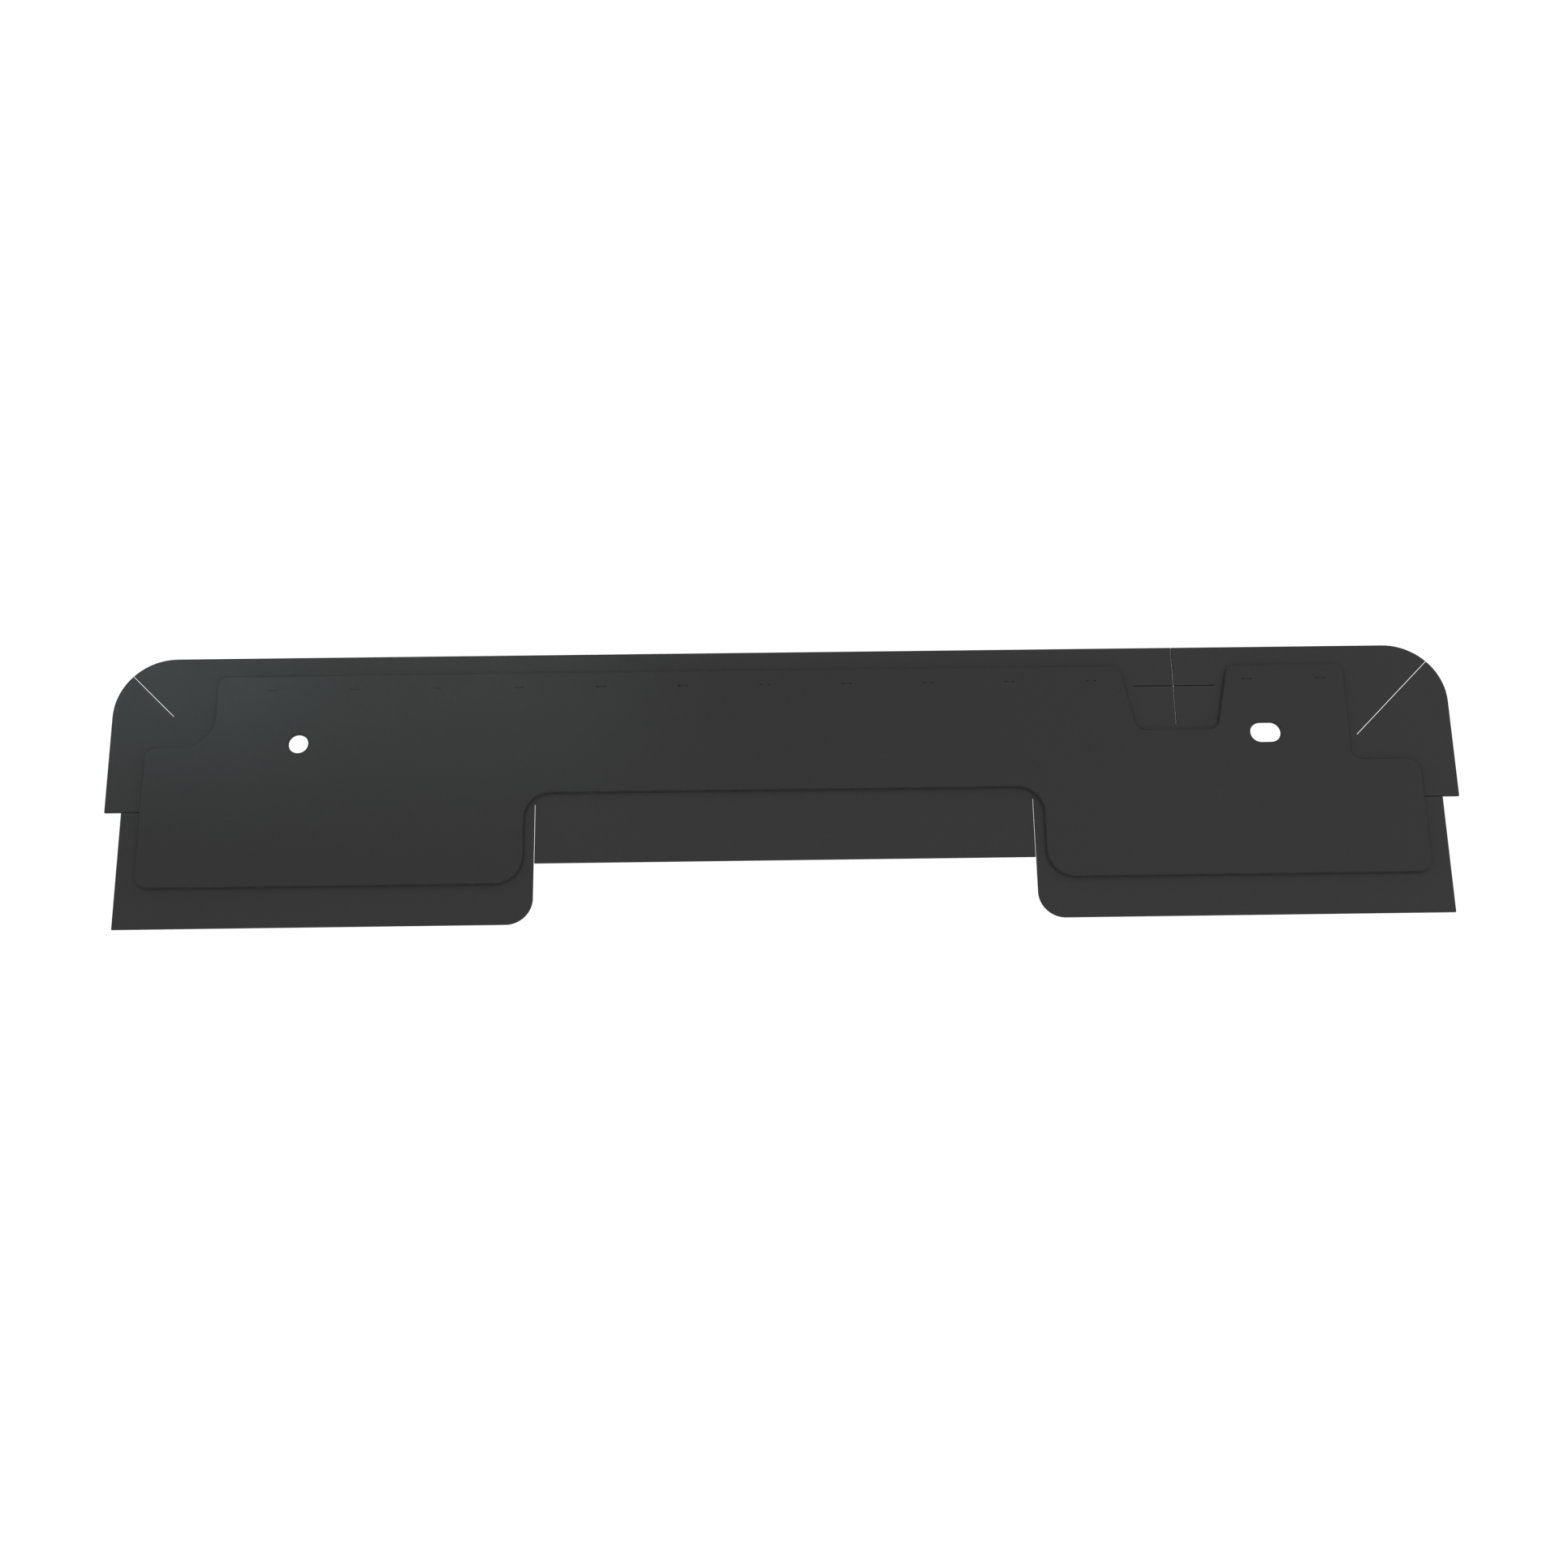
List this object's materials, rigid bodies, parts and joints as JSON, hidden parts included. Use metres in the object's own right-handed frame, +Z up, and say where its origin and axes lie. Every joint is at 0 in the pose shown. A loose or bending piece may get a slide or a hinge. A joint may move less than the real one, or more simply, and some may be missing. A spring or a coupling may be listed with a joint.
{
  "type": "plinth kick plate",
  "caption": "Low plinth kick plate: a slit rubber apron with folding lips behind a raised stiff face plate, held through a round and a slotted fixing hole.",
  "frame": {"origin": "on the apron's flat back face, midway between the two fixing holes", "axes": "+X along the width, to the right as seen from the front; +Z up; +Y out of the back face, so the face plate looks along -Y"},
  "size_m": [0.6, 0.0035, 0.1254],
  "materials": {
    "apron_rubber": "matt moulded sheet rubber, charcoal",
    "plate_plastic": "fine-grained satin plastic, charcoal",
    "staple_wire": "black-coated steel wire"
  },
  "bodies": {
    "mounted_panel": {"apron_core": "apron_rubber", "face_plate": "plate_plastic", "staple_01": "staple_wire", "staple_02": "staple_wire", "staple_03": "staple_wire", "staple_04": "staple_wire", "staple_05": "staple_wire", "staple_06": "staple_wire", "staple_07": "staple_wire", "staple_08": "staple_wire", "staple_09": "staple_wire", "staple_10": "staple_wire", "staple_11": "staple_wire", "staple_12": "staple_wire", "staple_13": "staple_wire"},
    "top_lip_left": {"top_lip_left": "apron_rubber"},
    "top_lip_right": {"top_lip_right": "apron_rubber"},
    "side_lip_left": {"side_lip_left": "apron_rubber"},
    "side_lip_right": {"side_lip_right": "apron_rubber"},
    "bottom_lip_left": {"bottom_lip_left": "apron_rubber"},
    "bottom_lip_right": {"bottom_lip_right": "apron_rubber"},
    "centre_flap": {"centre_flap": "apron_rubber"},
    "petal_upper_left": {"petal_upper_left": "apron_rubber"},
    "petal_upper_right": {"petal_upper_right": "apron_rubber"},
    "petal_lower_left": {"petal_lower_left": "apron_rubber"},
    "petal_lower_right": {"petal_lower_right": "apron_rubber"}
  },
  "joints": [
    {"name": "top_left_fold", "type": "hinge", "parent": "mounted_panel", "child": "top_lip_left", "pos_m": [-0.057, -0.00075, 0.034], "axis": [1, 0, 0], "range_deg": [-75, 75], "stiffness_Nm_per_rad": 0.000996},
    {"name": "top_right_fold", "type": "hinge", "parent": "mounted_panel", "child": "top_lip_right", "pos_m": [0.235, -0.00075, 0.034], "axis": [1, 0, 0], "range_deg": [-75, 75], "stiffness_Nm_per_rad": 0.000243},
    {"name": "side_left_fold", "type": "hinge", "parent": "mounted_panel", "child": "side_lip_left", "pos_m": [-0.286, -0.00075, 0], "axis": [0, 0, 1], "range_deg": [-75, 75], "stiffness_Nm_per_rad": 0.00068},
    {"name": "side_right_fold", "type": "hinge", "parent": "mounted_panel", "child": "side_lip_right", "pos_m": [0.286, -0.00075, 0], "axis": [0, 0, -1], "range_deg": [-75, 75], "stiffness_Nm_per_rad": 0.00068},
    {"name": "bottom_left_fold", "type": "hinge", "parent": "mounted_panel", "child": "bottom_lip_left", "pos_m": [-0.2, -0.00075, -0.0674], "axis": [-1, 0, 0], "range_deg": [-75, 75], "stiffness_Nm_per_rad": 0.00389},
    {"name": "bottom_right_fold", "type": "hinge", "parent": "mounted_panel", "child": "bottom_lip_right", "pos_m": [0.2, -0.00075, -0.0674], "axis": [-1, 0, 0], "range_deg": [-75, 75], "stiffness_Nm_per_rad": 0.00389},
    {"name": "centre_flap_fold", "type": "hinge", "parent": "mounted_panel", "child": "centre_flap", "pos_m": [0, -0.00075, -0.03], "axis": [-1, 0, 0], "range_deg": [-75, 75], "stiffness_Nm_per_rad": 0.0194},
    {"name": "petal_upper_left_fold", "type": "hinge", "parent": "mounted_panel", "child": "petal_upper_left", "pos_m": [0.16016, -0.00075, 0.0232], "axis": [-0.9031, 0, -0.4295], "range_deg": [-75, 75], "stiffness_Nm_per_rad": 0.00000737},
    {"name": "petal_upper_right_fold", "type": "hinge", "parent": "mounted_panel", "child": "petal_upper_right", "pos_m": [0.19304, -0.00075, 0.0232], "axis": [-0.9031, 0, 0.4295], "range_deg": [-75, 75], "stiffness_Nm_per_rad": 0.00000737},
    {"name": "petal_lower_left_fold", "type": "hinge", "parent": "mounted_panel", "child": "petal_lower_left", "pos_m": [0.16802, -0.00075, 0.01462], "axis": [0.7071, 0, -0.7071], "range_deg": [-75, 75], "stiffness_Nm_per_rad": 0.0000518},
    {"name": "petal_lower_right_fold", "type": "hinge", "parent": "mounted_panel", "child": "petal_lower_right", "pos_m": [0.18518, -0.00075, 0.01462], "axis": [0.7071, 0, 0.7071], "range_deg": [-75, 75], "stiffness_Nm_per_rad": 0.0000518}
  ]
}
